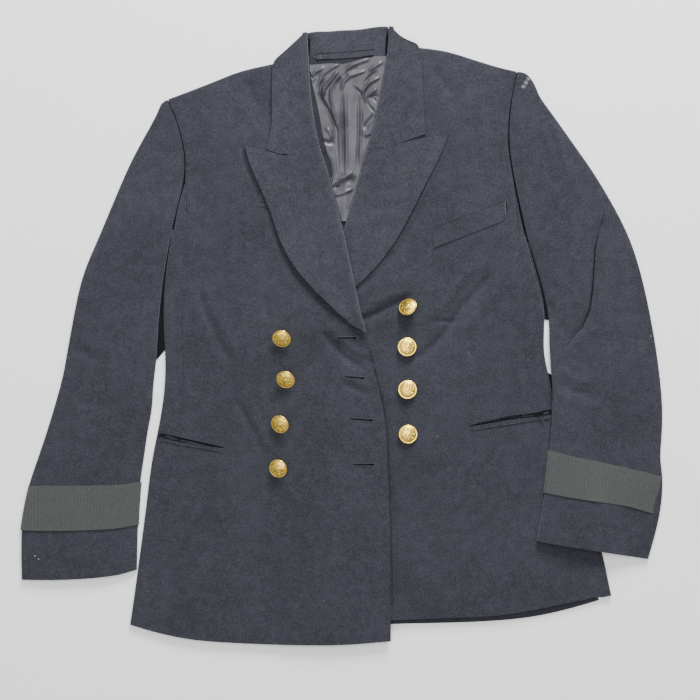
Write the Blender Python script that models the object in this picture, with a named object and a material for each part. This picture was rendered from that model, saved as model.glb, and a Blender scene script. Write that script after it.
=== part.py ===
"""Double-breasted uniform dress jacket, laid flat on its back and unfastened.

Built as it is cut: back halves, side bodies, fronts, lapels, collar, two-piece sleeves,
braid, pockets, neck lining, hanger loop and buttons. X runs to the wearer's left,
Y towards the collar, Z up from the surface that the jacket lies on.
"""
import math

import bmesh
import bpy
from mathutils import Vector

MM = 0.001

# Driving dimensions in millimetres
WALL = 1.6
LAPEL_WALL = 1.5
LINING_WALL = 1.0
LAYER_GAP = 0.4
SEAM = 0.4
EDGE_TOP = 4.4
MIDDLE_TOP = 6.2
EDGE_RISE = 70.0
NECK_LIFT = 1.8
SIDE_UNDER = 12.0
SHOULDER_UNDER = 5.0
LAPEL_ROLL = 3.0
LAPEL_UNDER = 6.0
SLEEVE_ROLL = 2.4
SLEEVE_UNDER = 8.0
SLEEVE_ARCH = 1.9
BOW = 5
COLLAR_FOLD = 2.8
COLLAR_FALL = 42.0
BRAID_WALL = 1.0
BRAID_SPAN = (10 / 12, 11 / 12)
JET_WIDTH = 5.0
BUTTON_RADIUS = 11.2
STEEPEST_BUTTON = 16.0
# Puts the middle of the jacket's box over the origin
CENTRE = Vector((-0.65, 0.4, 0.0))

# The body at levels down the jacket: y, then x of each seam or edge there.
# right_side and left_side are the armhole above the underarm and the folded side below it.
# right_edge and left_edge are the roll line above the break and the front edge below it.
LEVELS = [
    # y, right_side, right_seam, right_edge, left_edge, left_seam, left_side
    (346, None, None, -39.0, 54.2, None, None),
    (325, None, None, -38.0, 52.9, None, None),
    (304, None, None, -37.0, 49.5, None, 201.8),
    (280, -204.0, None, -35.6, 45.2, None, 196.6),
    (255, -192.0, None, -32.6, 40.0, None, 192.8),
    (225, -183.0, None, -27.3, 32.5, None, 191.5),
    (200, -178.8, None, -19.6, 25.2, None, 194.6),
    (176, -180.6, -180.6, -12.3, 18.8, 198.8, 199.0),
    (150, -188.5, -178.8, -4.9, 11.2, 202.0, 204.8),
    (121, -194.9, -177.9, 1.9, 2.8, 204.8, 211.6),
    (90, -199.8, -179.0, 8.6, -5.6, 208.4, 219.4),
    (55, -204.6, -181.3, 16.2, -15.6, 211.4, 229.6),
    (25, -205.2, -182.4, 22.5, -24.6, 212.8, 235.2),
    (0, -205.1, -182.7, 27.2, -31.4, 212.4, 233.2),
    (-25, -202.6, -182.0, 32.6, -36.0, 213.8, 232.6),
    (-45, -202.4, -181.4, 38.8, -38.6, 216.7, 238.2),
    (-80, -206.0, -182.7, 48.3, -42.3, 225.2, 246.2),
    (-112, -211.7, -188.0, 51.3, -44.4, 234.4, 256.0),
    (-145, -219.3, -193.3, 53.0, -45.8, 244.8, 267.4),
    (-195, -224.8, -201.5, 54.6, -47.6, 260.0, 283.4),
    (-250, -232.0, -208.7, 55.6, -49.2, 276.4, 300.5),
    (-300, -238.8, -215.5, 56.3, -50.4, 288.0, 311.0),
    (-350, -246.2, -221.4, 56.9, -51.2, 297.0, 316.0),
]
RIGHT_SIDE, RIGHT_SEAM, RIGHT_EDGE, LEFT_EDGE, LEFT_SEAM, LEFT_SIDE = range(1, 7)
UNDERARM_RIGHT = 121.0
UNDERARM_LEFT = 107.0
SIDE_SEAM_TOP = 174.0
BREAK_RIGHT = 2.0
BREAK_LEFT = -8.0

# Edges that run across the jacket: x, y
SHOULDER_RIGHT = [(-44.3, 321.5), (-77, 312.8), (-116, 304), (-158, 287.5), (-200, 271.6)]
SHOULDER_LEFT = [(59.9, 333.6), (91, 331), (122, 326.6), (157, 315.7), (182, 308.2), (201.8, 303.6)]
HEM_RIGHT = [(56.9, -352), (4, -356.3), (-59, -356.5), (-128, -354), (-180, -349.6),
             (-220.2, -340.4)]
HEM_LEFT = [(-50.9, -330), (57, -328.5), (91, -326.6), (143, -325.1), (197, -321.1),
            (252, -310), (288.5, -302.6)]
SIDE_HEM = {"right": -333.5, "left": -300.0}
BACK_NECK = (8, 321)
BACK_TOP_RIGHT = [BACK_NECK, (-44, 311), (-77, 303), (-116, 294.6), (-158, 278.2), (-192, 263)]
BACK_TOP_LEFT = [BACK_NECK, (58, 322.5), (91, 321), (122, 317), (157, 306), (193, 294)]
# Heights at which the rows of the fronts run
FRONT_ROWS = (300, 280, 262, 244, 222, 200, 178, 155, 130, 105, 80, 58, 38, 22, 12, 2, -10, -25, -45,
              -70, -95, -125, -160, -200, -240, -280, -315)
BACK_HEM_CENTRE = (12, -336)
BACK_HEM_RIGHT = [BACK_HEM_CENTRE, (-60, -346), (-128, -347), (-180, -343), (-231.5, -331)]
BACK_HEM_LEFT = [BACK_HEM_CENTRE, (57, -332.4), (121, -331.8), (205, -328.0), (240, -321.4), (270, -313.8),
                 (298, -305.4)]
COLLAR_TOP = [(-38.6, 348.2), (-29.2, 350.2), (-14.5, 349.6), (-2.8, 351.2), (23.6, 352.2), (38.3, 355.4),
              (53.6, 355.6)]
NECK_SEAM = 321.2
LINING_END = 131.0
BACK_SPACING = 1.6

# Collar leaves and lapels: x, y
GORGE_RIGHT = [(-25.9, 219.7), (-44.3, 213.9), (-63.8, 204.1), (-86.8, 213.5)]
GORGE_LEFT = [(29.3, 213.9), (50, 215), (74.1, 222.8), (97.5, 231)]
PEAK_RIGHT = GORGE_RIGHT + [(-111.3, 217.7)]
PEAK_LEFT = GORGE_LEFT[:3] + [(98.3, 228.2), (123.6, 231.2)]
LEAF_FOLD_RIGHT = [(-39.4, 347.4), (-43.2, 346.3), (-47.2, 342.8), (-52.7, 338.1), (-61.4, 329.9),
                   (-69.6, 322.7), (-79.4, 314.8)]
LEAF_FOLD_LEFT = [(54.2, 354.6), (57.6, 353.4), (61.2, 350.0), (64.7, 346.2), (73.5, 340.3), (89.1, 334.7)]
LEAF_EDGE_RIGHT = [(-79.4, 314.8), (-80.2, 270.3), (-80.7, 235.8), (-86.8, 213.5)]
LEAF_EDGE_LEFT = [(89.1, 334.7), (92.1, 308.2), (94, 275.4), (94.9, 250.1), (97.5, 231)]
LAPEL_EDGE_RIGHT = [(-111.3, 217.7), (-107.5, 201.3), (-99.5, 184), (-80, 138), (-71.3, 109.3),
                    (-58.1, 84.6), (-41.5, 62.1), (-25.2, 46), (-4.6, 25.3), (11.5, 12.5)]
LAPEL_EDGE_LEFT = [(123.6, 231.2), (116.7, 212.8), (96, 172.5), (73, 126.5), (52.3, 93.2),
                   (34.4, 73.1), (16.3, 55.2), (-7.5, 34.5), (-17, 27.0)]

# Sleeves: a row for each section from underarm to cuff, inner x, y and outer x, y
SLEEVE_RIGHT = [
    # inner_x, inner_y, outer_x, outer_y
    (-194.9, 121.0, -200.0, 271.6),
    (-197.0, 111.0, -208.2, 266.6),
    (-201.0, 91.0, -213.6, 253.0),
    (-206.1, 57.5, -232.9, 218.5),
    (-209.3, 27.6, -250.1, 184.0),
    (-211.8, -5.8, -278.9, 115.0),
    (-213.0, -31.0, -293.8, 80.5),
    (-216.3, -58.0, -304.2, 46.0),
    (-217.6, -84.0, -316.8, -23.0),
    (-222.5, -109.3, -323.7, -57.5),
    (-226.8, -140.0, -343.0, -122.0),
    (-231.3, -170.2, -361.7, -176.0),
    (-234.0, -217.4, -369.2, -223.5),
    (-235.2, -270.3, -368.6, -281.8),
]
SLEEVE_LEFT = [
    (215.2, 107.0, 201.8, 303.6),
    (217.5, 100.0, 213.6, 301.6),
    (222.5, 84.0, 223.7, 287.5),
    (225.6, 73.5, 228.3, 274.8),
    (231.9, 51.8, 244.4, 253.0),
    (236.6, 29.9, 268.5, 218.5),
    (238.6, 11.5, 292.7, 184.0),
    (238.5, -11.5, 331.8, 115.0),
    (240.0, -40.3, 351.3, 46.0),
    (242.1, -63.3, 364.0, -23.0),
    (241.7, -84.0, 370.9, -92.0),
    (240.8, -110.0, 367.0, -140.0),
    (238.6, -134.6, 370.5, -163.5),
    (232.9, -181.7, 367.5, -206.0),
    (223.6, -236.4, 353.4, -258.1),
]
CUFF_RIGHT = [(-235.2, -270.3), (-249, -274.9), (-283.5, -279.5), (-323.7, -281.8), (-368.6, -281.8)]
CUFF_LEFT = [(223.6, -236.4), (251.3, -241.7), (301.1, -249.4), (353.4, -258.1)]

# Largest folds of the fronts: x1, y1, x2, y2, half width, height (a trough is negative)
FOLDS_RIGHT = [
    (-165, 50, -120, -118, 13, 1.6),
    (-152, 45, -106, -118, 11, -1.4),
    (-112, -70, -86, -250, 16, -1.5),
    (-92, -60, -62, -250, 16, 1.4),
    (-24, 2, 26, -40, 7, -2.0),
    (-30, -12, 22, -62, 9, 2.2),
    (-94, 60, -88, 12, 12, -1.6),
    (-110, 40, -92, -10, 12, 1.3),
    (-30, -250, -10, -352, 22, 1.6),
    (-150, -200, -165, -345, 22, 1.4),
    (-110, 215, -100, 285, 14, -1.6),
]
FOLDS_LEFT = [
    (34, 24, 82, 46, 8, -2.2),
    (36, 40, 88, 62, 9, 3.0),
    (216, 95, 120, 0, 12, 2.0),
    (200, 72, 92, -28, 8, -1.8),
    (190, 50, 100, -50, 12, 1.5),
    (105, 295, 140, 240, 12, -1.5),
    (125, -130, 165, -300, 18, 1.5),
    (86, -120, 100, -320, 18, -1.2),
    (150, 150, 100, 60, 18, 1.4),
]
# Folds of the sleeves: u1, v1, u2, v2 across and along, half width in u, height
FOLDS_SLEEVE_RIGHT = [
    (0.80, 0.10, 0.72, 0.42, 0.09, -1.5),
    (0.45, 0.12, 0.40, 0.62, 0.09, -1.3),
    (0.60, 0.15, 0.55, 0.60, 0.09, 1.6),
    (0.22, 0.30, 0.28, 0.70, 0.09, 1.2),
    (0.90, 0.40, 0.75, 0.50, 0.08, 1.3),
]
FOLDS_SLEEVE_LEFT = [
    (0.30, 0.06, 0.42, 0.30, 0.09, 1.8),
    (0.55, 0.08, 0.62, 0.35, 0.09, 1.6),
    (0.78, 0.28, 0.10, 0.52, 0.07, -1.8),
    (0.72, 0.36, 0.10, 0.60, 0.07, 1.8),
    (0.12, 0.40, 0.45, 0.62, 0.08, 1.4),
    (0.86, 0.50, 0.60, 0.85, 0.09, -1.2),
]
# Wrinkles of the neck lining: x1, y1, x2, y2, half width, height
WRINKLES = [
    (8, 300, 4, 130, 5, 1.6),
    (-4, 285, -18, 215, 5, 1.8),
    (12, 300, -8, 262, 5, 2.0),
    (34, 300, 6, 268, 5, 2.2),
    (40, 268, 30, 225, 6, 2.0),
    (-26, 262, -14, 200, 5, 1.6),
    (-12, 172, 30, 190, 6, 2.0),
    (18, 250, 20, 170, 6, 1.6),
]

# Buttons: x, y, lean to the right, lean towards the collar (degrees), height of the shank's foot
BUTTONS_RIGHT = [(-68.4, -3.5, -8, -26, 0.0), (-63.8, -50.6, -10, -22, 0.0), (-70.0, -101.9, -12, -10, 0.3),
                 (-72.2, -152.7, -10, -8, -0.1)]
BUTTONS_LEFT = [(76.5, 31.6, -6, 8, -0.6), (75.3, -13.8, 3, 3, 0.0), (75.9, -62.7, -3, 2, 0.0),
                (76.5, -113.9, 2, -2, 0.0)]


def clear_scene():
    for thing in list(bpy.data.objects):
        bpy.data.objects.remove(thing, do_unlink=True)


def smooth(low, high, value):
    """0 below low, 1 above high, with a soft start and end."""
    share = min(1.0, max(0.0, (value - low) / (high - low)))
    return share * share * (3.0 - 2.0 * share)


def along(rows, key, column):
    """Value of a column of a table between its rows, which run down from the highest key."""
    known = [(row[0], row[column]) for row in rows if row[column] is not None]
    if key >= known[0][0]:
        return known[0][1]
    for (top, first), (bottom, second) in zip(known, known[1:]):
        if key >= bottom:
            return second + (first - second) * (key - bottom) / (top - bottom)
    return known[-1][1]


def through(points, soft=True, by_row=False):
    """A curve through points: a function from 0..1, by length or by row, to a place."""
    places = [Vector((*p, 0.0)) for p in points]
    lengths = [0.0]
    for a, b in zip(places, places[1:]):
        lengths.append(lengths[-1] + (1.0 if by_row else (b - a).length))
    total = lengths[-1]

    def at(t):
        reach = min(max(t, 0.0), 1.0) * total
        i = 0
        while i < len(places) - 2 and reach > lengths[i + 1]:
            i += 1
        span = lengths[i + 1] - lengths[i]
        s = (reach - lengths[i]) / span
        a, b = places[i], places[i + 1]
        if not soft:
            return a.lerp(b, s)
        before = places[i - 1] if i > 0 else a - (b - a)
        after = places[i + 2] if i + 2 < len(places) else b + (b - a)
        reach_a, reach_b = (2, 2) if by_row else ((b - before).length / span, (after - a).length / span)
        slope_a = (b - before) / max(reach_a, 1.0)
        slope_b = (after - a) / max(reach_b, 1.0)
        h = s * s * (3 - 2 * s)
        return (a * (1 - h) + b * h + slope_a * (s ** 3 - 2 * s ** 2 + s)
                + slope_b * (s ** 3 - s ** 2))
    return at


def down(column, top, bottom, shift=lambda y: 0.0):
    """The part of a column of LEVELS between two heights, as a curve from top to bottom."""
    def at(t):
        y = top + (bottom - top) * t
        return Vector((along(LEVELS, y, column) + shift(y), y, 0.0))
    return at


def joined(first, second, share):
    """Two curves end to end, the first one up to share."""
    def at(t):
        return first(t / share) if t < share else second((t - share) / (1.0 - share))
    return at


def patch(top, bottom, left, right):
    """A surface between four edge curves: place(u, v), u from left to right, v downwards."""
    corners = (top(0), top(1), bottom(0), bottom(1))

    def at(u, v):
        across = top(u) * (1 - v) + bottom(u) * v
        along_v = left(v) * (1 - u) + right(v) * u
        flat = (corners[0] * (1 - u) * (1 - v) + corners[1] * u * (1 - v)
                + corners[2] * (1 - u) * v + corners[3] * u * v)
        return across + along_v - flat
    return at


def ridge(folds, x, y):
    """Height that a table of folds adds at a place."""
    total = 0.0
    for x1, y1, x2, y2, width, height in folds:
        dx, dy = x2 - x1, y2 - y1
        length = math.hypot(dx, dy)
        share = ((x - x1) * dx + (y - y1) * dy) / length ** 2
        off = abs((x - x1) * dy - (y - y1) * dx) / length
        ends = smooth(-0.15, 0.25, share) * smooth(1.15, 0.75, share)
        total += height * ends * math.exp(-(off / width) ** 2)
    return total


def shoulder_line(points, x):
    rows = sorted(((p[0], p[1]) for p in points), reverse=True)
    return along(rows, x, 1)


def inside(x, y):
    """Distance in from the nearest side or shoulder of the body."""
    right = x - along(LEVELS, y, RIGHT_SIDE)
    left = along(LEVELS, y, LEFT_SIDE) - x
    middle = (SHOULDER_LEFT if x > 0 else SHOULDER_RIGHT)
    return min(right, left, shoulder_line(middle, x) - y)


def neck_rise(x, y):
    """Share by which the cloth climbs over the collar's fall at the back neck."""
    return smooth(262, 300, y) * smooth(112, 74, abs(x - 8))


def body_height(x, y):
    level = EDGE_TOP + (MIDDLE_TOP - EDGE_TOP) * smooth(0, EDGE_RISE, inside(x, y))
    return level + NECK_LIFT * neck_rise(x, y)


def fold_share(x, y):
    """Folds die away towards the sides and shoulders."""
    return smooth(4, 26, inside(x, y))


def left_height(x, y):
    """Top of the left front."""
    clear = smooth(18, 34, x)
    return body_height(x, y) + ridge(FOLDS_LEFT, x, y) * fold_share(x, y) * clear


def right_height(x, y):
    """Top of the right front, which climbs over the left front and its lapel."""
    hidden = along(LEVELS, y, LEFT_EDGE)
    over = smooth(-30, -6, x - hidden) * smooth(150, 120, y)
    climb = WALL + 1.5 * LAYER_GAP + (2 * LAPEL_ROLL - 3 * LAYER_GAP) * smooth(-22, 8, y)
    folds = ridge(FOLDS_RIGHT, x, y) * fold_share(x, y)
    if x > hidden - 10:
        folds = max(folds, 0.0)
    return body_height(x, y) + climb * over + folds


def back_base(x, y):
    """The back lies on the surface, and over the collar's fall at the neck."""
    return (LAPEL_WALL + LAYER_GAP) * neck_rise(x, y)


def fabric(name, color, roughness, metallic=0.0):
    stuff = bpy.data.materials.new(name)
    stuff.use_nodes = True
    shader = stuff.node_tree.nodes["Principled BSDF"]
    shader.inputs["Base Color"].default_value = (*color, 1.0)
    shader.inputs["Roughness"].default_value = roughness
    shader.inputs["Metallic"].default_value = metallic
    return stuff


def grid_object(name, rows, wall, stuff, face_up=None):
    """A closed cloth wall whose outer side runs through rows of places in millimetres."""
    deep, wide = len(rows), len(rows[0])
    shape = bmesh.new()
    bmesh.ops.create_grid(shape, x_segments=wide - 1, y_segments=deep - 1, size=0.5)
    shape.verts.ensure_lookup_table()
    for i, row in enumerate(rows):
        for j, place in enumerate(row):
            shape.verts[i * wide + j].co = (place + CENTRE) * MM
    shape.faces.ensure_lookup_table()
    shape.normal_update()
    i, j = face_up or (deep // 2, wide // 2)
    if shape.faces[min(i, deep - 2) * (wide - 1) + min(j, wide - 2)].normal.z < 0:
        bmesh.ops.reverse_faces(shape, faces=shape.faces[:])
    mesh = bpy.data.meshes.new(name)
    shape.to_mesh(mesh)
    shape.free()
    mesh.materials.append(stuff)
    mesh.shade_smooth()
    piece = bpy.data.objects.new(name, mesh)
    bpy.context.scene.collection.objects.link(piece)
    shell = piece.modifiers.new("Wall", "SOLIDIFY")
    shell.thickness = wall * MM
    shell.offset = -1.0
    return piece


def flat_in(curve, t, side):
    """Horizontal unit vector that points inwards from a side curve."""
    step = 0.02
    run = curve(min(1, t + step)) - curve(max(0, t - step))
    return Vector((run.y, -run.x, 0.0)).normalized() * side


def turned_edge(edge, inward, roll, top, floor, under, steps=4):
    """Places round a folded edge: from the top, round the edge, to the leg underneath."""
    middle = (top + floor) / 2
    half = (top - floor) / 2
    places = []
    for k in range(steps + 1):
        angle = math.pi * k / steps
        place = edge + inward * roll * (1 - math.sin(angle))
        places.append(Vector((place.x, place.y, middle + half * math.cos(angle))))
    if under > roll:
        place = edge + inward * under
        places.append(Vector((place.x, place.y, floor)))
    return places


def pull_in(rows, sides, amount=SEAM / 2):
    """Draws the seam sides of a grid in by half a seam."""
    deep, wide = len(rows), len(rows[0])
    lines = {"top": [(0, j, 1, j) for j in range(wide)],
             "bottom": [(deep - 1, j, deep - 2, j) for j in range(wide)],
             "left": [(i, 0, i, 1) for i in range(deep)],
             "right": [(i, wide - 1, i, wide - 2) for i in range(deep)]}
    for side in sides:
        for i, j, k, m in lines[side]:
            gap = rows[k][m] - rows[i][j]
            rows[i][j] = rows[i][j] + gap.normalized() * amount
    return rows


def lifted(place, height):
    return Vector((place.x, place.y, height(place.x, place.y)))


def shouldered(rows_of, columns, height):
    """Rows that turn a shoulder edge over and under, for columns of a patch."""
    turned = []
    for j in range(columns + 1):
        edge = rows_of(j / columns, 0)
        top = height(edge.x, edge.y - EDGE_TOP / 2)
        inward = (rows_of(j / columns, 0.05) - edge).normalized()
        turned.append(turned_edge(edge, inward, top / 2, top, 0.0, top / 2 + SHOULDER_UNDER))
    return [[turned[j][k] for j in range(columns + 1)] for k in range(len(turned[0]) - 1, -1, -1)]


def front(name, top, bottom, inner, outer, height, stuff, columns=11):
    """A front: shoulder turned under, armhole and side seam outside, roll line and edge inside."""
    place = patch(top, bottom, inner, outer)
    high, low = inner(0.0).y, inner(1.0).y
    shares = [(high - y) / (high - low) for y in FRONT_ROWS] + [1.0]
    rows = [[lifted(place(j / columns, v), height) for j in range(columns + 1)] for v in shares]
    rows = shouldered(place, columns, height) + rows
    pull_in(rows, ("left", "right"))
    return grid_object(name, rows, WALL, stuff, (len(rows) // 2, columns // 2))


def side_body(name, side, seam, edge, top, bottom, height, stuff, columns=2, levels=16):
    """A side body: from the front seam over the folded side to the back."""
    place = patch(top, bottom, seam, edge)
    rows = []
    for k in range(levels + 1):
        v = k / levels
        row = [lifted(place(j / columns, v), height) for j in range(columns)]
        rim = place(1.0, v)
        inward = flat_in(edge, v, side)
        over = height(rim.x + inward.x * EDGE_TOP / 2, rim.y + inward.y * EDGE_TOP / 2)
        rows.append(row + turned_edge(rim, inward, over / 2, over, 0.0, SIDE_UNDER))
    pull_in(rows, ("left", "top"))
    return grid_object(name, rows, WALL, stuff, (levels // 2, 0))


def rolled_leaf(name, top, bottom, outer, roll, side, base, lift, stuff, columns=7, levels=12):
    """A lapel or a collar leaf: rolled over along the roll line, it lies on the front."""
    place = patch(top, bottom, outer, roll)
    rows = []
    for k in range(levels + 1):
        v = k / levels
        rim = roll(v)
        inward = flat_in(roll, v, side)
        reach = 1.0 - (LAPEL_ROLL + 2.0) / (place(0.0, v) - rim).length
        near = rim + inward * LAPEL_UNDER
        floor = base(near.x, near.y) - WALL
        row = []
        for j in range(columns):
            u = reach * j / (columns - 1)
            spot = place(u, v)
            away = (spot - rim).length
            flat = base(spot.x, spot.y) + LAYER_GAP + LAPEL_WALL
            puff = (floor + 2 * LAPEL_ROLL - flat) * smooth(16, 3, away)
            row.append(Vector((spot.x, spot.y, flat + max(puff, 0.0) + lift(u, v))))
        rows.append(row + turned_edge(rim, inward, LAPEL_ROLL, floor + 2 * LAPEL_ROLL, floor, LAPEL_UNDER))
    pull_in(rows, ("top", "bottom"), SEAM)
    return grid_object(name, rows, LAPEL_WALL, stuff, (levels // 2, 2))


def ground(x, y):
    """What the left sleeve lies on: the surface, or the side of the body."""
    out = x - along(LEVELS, y, LEFT_SIDE)
    on_body = smooth(34, 5, out) * smooth(26, -34, y)
    return (MIDDLE_TOP + WALL) * on_body


def flat_ground(x, y):
    return 0.0


def sleeve_edges(sections, cuff, armhole):
    inner = through([row[:2] for row in sections], by_row=True)
    outer = through([row[2:] for row in sections], by_row=True)
    hem = through(cuff)

    def at(u, v):
        head = armhole(u) - armhole(0).lerp(armhole(1), u)
        end = hem(u) - hem(0).lerp(hem(1), u)
        return inner(v).lerp(outer(v), u) + head * (1 - v) ** BOW + end * v ** BOW
    return at


def sleeve_height(u, v, x, y, folds, under):
    arch = SLEEVE_ARCH * (4 * u * (1 - u)) ** 0.6 * smooth(0.0, 0.08, v)
    fade = smooth(0.0, 0.12, u) * smooth(1.0, 0.88, u) * smooth(0.0, 0.06, v)
    return under(x, y) + 2 * SLEEVE_ROLL + arch + ridge(folds, u, v) * fade


def sleeve_top_places(place, v, folds, under, columns, out=0.0):
    row = []
    for j in range(1, columns):
        u = j / columns
        spot = place(u, v)
        row.append(Vector((spot.x, spot.y, sleeve_height(u, v, spot.x, spot.y, folds, under) + out)))
    return row


def across(place, v, u, step=0.12):
    """Horizontal unit vector inwards from a sleeve's edge at u, along the armhole at its top."""
    along_row = (place(abs(u - step), v) - place(u, v)).normalized()
    run = place(u, min(1.0, v + 0.02)) - place(u, max(0.0, v - 0.02))
    square = Vector((run.y, -run.x, 0.0)).normalized()
    if square.dot(place(0.5, v) - place(u, v)) < 0:
        square = -square
    share = smooth(0.10, 0.0, v)
    return (along_row * share + square * (1.0 - share)).normalized()


def top_sleeve(name, place, folds, under, stuff, columns=7, levels=24):
    """The upper sleeve: a leg underneath, both folded edges and the top between."""
    rows = []
    for k in range(levels + 1):
        v = k / levels
        ends = []
        for u in (0.0, 1.0):
            rim, inward = place(u, v), across(place, v, u)
            level = under(rim.x + inward.x * SLEEVE_ROLL, rim.y + inward.y * SLEEVE_ROLL)
            ends.append(turned_edge(rim, inward, SLEEVE_ROLL, level + 2 * SLEEVE_ROLL, level,
                                    SLEEVE_UNDER, steps=3))
        tops = sleeve_top_places(place, v, folds, under, columns)
        rows.append(list(reversed(ends[0])) + tops + ends[1])
    pull_in(rows, ("top",), 1.6 * SEAM)
    return grid_object(name, rows, WALL, stuff, (levels // 2, len(rows[0]) // 2))


def braid(name, place, folds, under, stuff, start, end, columns=7, levels=2):
    """Flat braid sewn round the cuff, made from the sleeve's own places moved out."""
    out = LAYER_GAP + BRAID_WALL
    rows = []
    for k in range(levels + 1):
        v = start + (end - start) * k / levels
        ends = []
        for u in (0.0, 1.0):
            rim, inward = place(u, v), across(place, v, u)
            level = under(rim.x + inward.x * SLEEVE_ROLL, rim.y + inward.y * SLEEVE_ROLL)
            places = []
            for angle in (0.0, math.pi / 3, 0.56 * math.pi):
                spot = rim + inward * (SLEEVE_ROLL - (SLEEVE_ROLL + out) * math.sin(angle))
                height = level + SLEEVE_ROLL + (SLEEVE_ROLL + out) * math.cos(angle)
                places.append(Vector((spot.x, spot.y, height)))
            ends.append(places)
        tops = sleeve_top_places(place, v, folds, under, columns, out)
        rows.append(list(reversed(ends[0])) + tops + ends[1])
    return grid_object(name, rows, BRAID_WALL, stuff, (0, len(rows[0]) // 2))


def under_sleeve(name, place, under, stuff, columns=5, levels=24):
    """The lower sleeve, flat on what is below it, between the legs of the top sleeve."""
    rows = []
    for k in range(levels + 1):
        v = k / levels
        first, last = place(0.0, v), place(1.0, v)
        clear = SLEEVE_UNDER + 2 * SEAM
        share = clear / (last - first).length
        start = first + across(place, v, 0.0) * clear - place(share, v)
        end = last + across(place, v, 1.0) * clear - place(1.0 - share, v)
        row = []
        for j in range(columns + 1):
            u = j / columns
            row.append(place(share + (1.0 - 2.0 * share) * u, v) + start.lerp(end, u))
        rows.append([Vector((spot.x, spot.y, under(spot.x, spot.y) + WALL)) for spot in row])
    pull_in(rows, ("top",), SEAM)
    return grid_object(name, rows, WALL, stuff, (levels // 2, columns // 2))


def laid(name, corners, height, wall, stuff, columns=8, levels=2):
    """A strip or patch between four corners, laid on a panel and made from its places."""
    top_left, top_right, low_left, low_right = corners
    place = patch(through([top_left, top_right]), through([low_left, low_right]),
                  through([top_left, low_left]), through([top_right, low_right]))
    out = LAYER_GAP + wall
    rows = [[lifted(place(j / columns, k / levels), lambda x, y: height(x, y) + out)
             for j in range(columns + 1)] for k in range(levels + 1)]
    return grid_object(name, rows, wall, stuff, (0, columns // 2))


def jet_corners(near, far, width, gape, side):
    """Corners of one jet of a hip pocket: side is 1 above the mouth and -1 below it."""
    run = (Vector(far) - Vector(near)).normalized()
    up = Vector((-run.y, run.x)) * (1 if run.x > 0 else -1) * side
    a, b = Vector(near) + up * gape[0], Vector(far) + up * gape[1]
    edges = [(a + up * width, b + up * width), (a, b)]
    return [tuple(p) for pair in edges[::side] for p in pair]


def back_half(name, top, hem, side_column, side, stuff, columns=7, levels=14):
    """Half of the back, flat on the surface, raised at the neck over the collar's fall."""
    def in_from_side(y):
        return -side * (4 * SEAM + (SIDE_UNDER + WALL) * smooth(156, 124, y))
    outer = down(side_column, top[-1][1], hem[-1][1], in_from_side)
    corner, low = outer(0.0), outer(1.0)
    place = patch(through(top[:-1] + [(corner.x, corner.y)]),
                  through(hem[:-1] + [(low.x, low.y)], soft=False),
                  through([BACK_NECK, BACK_HEM_CENTRE]), outer)
    rows = []
    for k in range(levels + 1):
        v = (k / levels) ** BACK_SPACING
        row = [place(j / columns, v) for j in range(columns + 1)]
        rows.append([Vector((p.x, p.y, back_base(p.x, p.y) + WALL)) for p in row])
    pull_in(rows, ("left",))
    return grid_object(name, rows, WALL, stuff, (levels // 2, columns // 2))


def collar_back(name, stuff, columns=8):
    """The collar round the back neck: the stand inside, the fold, and the fall behind."""
    top = through(COLLAR_TOP)
    rows = []
    for j in range(columns + 1):
        edge = top(j / columns)
        height = 2 * COLLAR_FOLD
        low = along(LEVELS, NECK_SEAM, RIGHT_EDGE) + SEAM
        low += (along(LEVELS, NECK_SEAM, LEFT_EDGE) - SEAM - low) * j / columns
        stand = [Vector((low, NECK_SEAM, height)),
                 Vector(((low + edge.x) / 2, (NECK_SEAM + edge.y) / 2, height - 0.5))]
        rows.append(stand + turned_edge(edge, Vector((0, -1, 0)), COLLAR_FOLD, height, 0.0, COLLAR_FALL))
    return grid_object(name, rows, LAPEL_WALL, stuff, (columns // 2, 0))


def lining(name, stuff, columns=12, levels=14):
    """Back lining as far as it shows between the rolled edges."""
    def on_back(x, y):
        base = back_base(x, y) + WALL + 2 * LAYER_GAP + LINING_WALL
        return base + max(ridge(WRINKLES, x, y), 0.0) * smooth(NECK_SEAM, NECK_SEAM - 14, y)
    start = NECK_SEAM - SEAM
    left = down(RIGHT_EDGE, start, LINING_END, lambda y: SEAM)
    right = down(LEFT_EDGE, start, LINING_END, lambda y: -SEAM)
    place = patch(through([tuple(left(0).xy), tuple(right(0).xy)]),
                  through([tuple(left(1).xy), tuple(right(1).xy)]), left, right)
    rows = [[lifted(place(j / columns, k / levels), on_back) for j in range(columns + 1)]
            for k in range(levels + 1)]
    return grid_object(name, rows, LINING_WALL, stuff, (levels // 2, columns // 2))


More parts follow.
